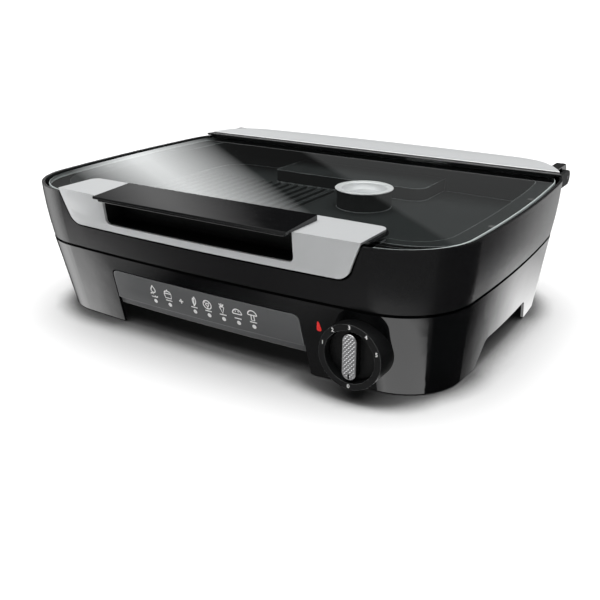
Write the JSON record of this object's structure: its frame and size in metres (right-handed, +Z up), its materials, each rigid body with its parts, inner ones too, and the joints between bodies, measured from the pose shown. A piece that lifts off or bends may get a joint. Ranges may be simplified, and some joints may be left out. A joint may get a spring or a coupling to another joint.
{
  "type": "electric table grill",
  "caption": "Table-top electric grill with hinged glass lid, ribbed plate, lift-out spice cup, pull-out drip drawer and temperature dial.",
  "frame": {"origin": "centre of the bounding box in plan, on the table plane under the rubber feet", "axes": "+X to the right seen from the front, +Y to the back where the lid is hinged, +Z up"},
  "size_m": [0.46, 0.372, 0.1382],
  "materials": {
    "gloss_black": "moulded black plastic with a high gloss",
    "satin_black": "moulded black plastic, satin",
    "dark_grey_plastic": "dark grey paint with a fine satin grain",
    "coated_plate": "non-stick coating on cast metal",
    "silver_trim": "satin silver",
    "polished_cup": "bright pressed sheet",
    "knurled_silver": "diamond knurl, satin silver",
    "smoked_glass": "clear tempered glass with a slight tint",
    "panel_grey": "dark grey satin with white figures",
    "tray_sheet": "enamelled sheet",
    "bright_sheet": "bright sheet",
    "heater_steel": "heat-tinted tube",
    "zinc_steel": "zinc-plated",
    "ceramic": "off-white heat-proof moulding",
    "silicone": "matt silicone",
    "rubber": "matt rubber",
    "lens_red": "translucent red"
  },
  "bodies": {
    "appliance": {"base_housing": "gloss_black", "bottom_cover": "satin_black", "rubber_feet": "rubber", "housing_screws": "zinc_steel", "upper_housing": "dark_grey_plastic", "plate_pads": "silicone", "lid_pads": "silicone", "grill_plate": "coated_plate", "heating_element": "heater_steel", "element_terminals": "zinc_steel", "element_clips": "zinc_steel", "reflector_tray": "bright_sheet", "thermal_fuse": "ceramic", "drawer_rail_left": "satin_black", "drawer_rail_right": "satin_black", "dial_ring": "satin_black", "thermostat_body": "ceramic", "thermostat_bracket": "zinc_steel", "pilot_lens": "lens_red", "pilot_lamp": "lens_red", "lamp_carrier": "satin_black", "mains_inlet": "satin_black", "inlet_pins": "zinc_steel", "terminal_block": "ceramic", "hinge_bracket_left": "satin_black", "hinge_bracket_right": "satin_black", "hinge_pins": "zinc_steel"},
    "lid": {"lid_glass": "smoked_glass", "lid_hinge_carrier": "gloss_black", "lid_rear_trim": "silver_trim", "lid_bezel": "silver_trim", "bezel_carrier": "gloss_black", "handle_recess": "satin_black", "handle_plate": "gloss_black", "handle_grip": "gloss_black", "handle_screws": "zinc_steel"},
    "drawer": {"drip_tray": "tray_sheet", "drawer_front": "panel_grey"},
    "knob": {"knob_body": "satin_black", "knob_grip": "knurled_silver", "thermostat_shaft": "zinc_steel"},
    "cup": {"spice_cup": "polished_cup"}
  },
  "joints": [
    {"name": "lid_hinge", "type": "hinge", "parent": "appliance", "child": "lid", "pos_m": [0, 0.1785, 0.12], "axis": [-1, 0, 0], "range_deg": [0, 90]},
    {"name": "drawer_slide", "type": "slide", "parent": "appliance", "child": "drawer", "axis": [0, -1, 0], "range_m": [0, 0.18]},
    {"name": "dial_turn", "type": "hinge", "parent": "appliance", "child": "knob", "pos_m": [0.1515, -0.165, 0.04], "axis": [0, 1, 0], "range_deg": [0, 251]},
    {"name": "cup_lift", "type": "slide", "parent": "appliance", "child": "cup", "axis": [0, 0, 1], "range_m": [0, 0.008]}
  ]
}
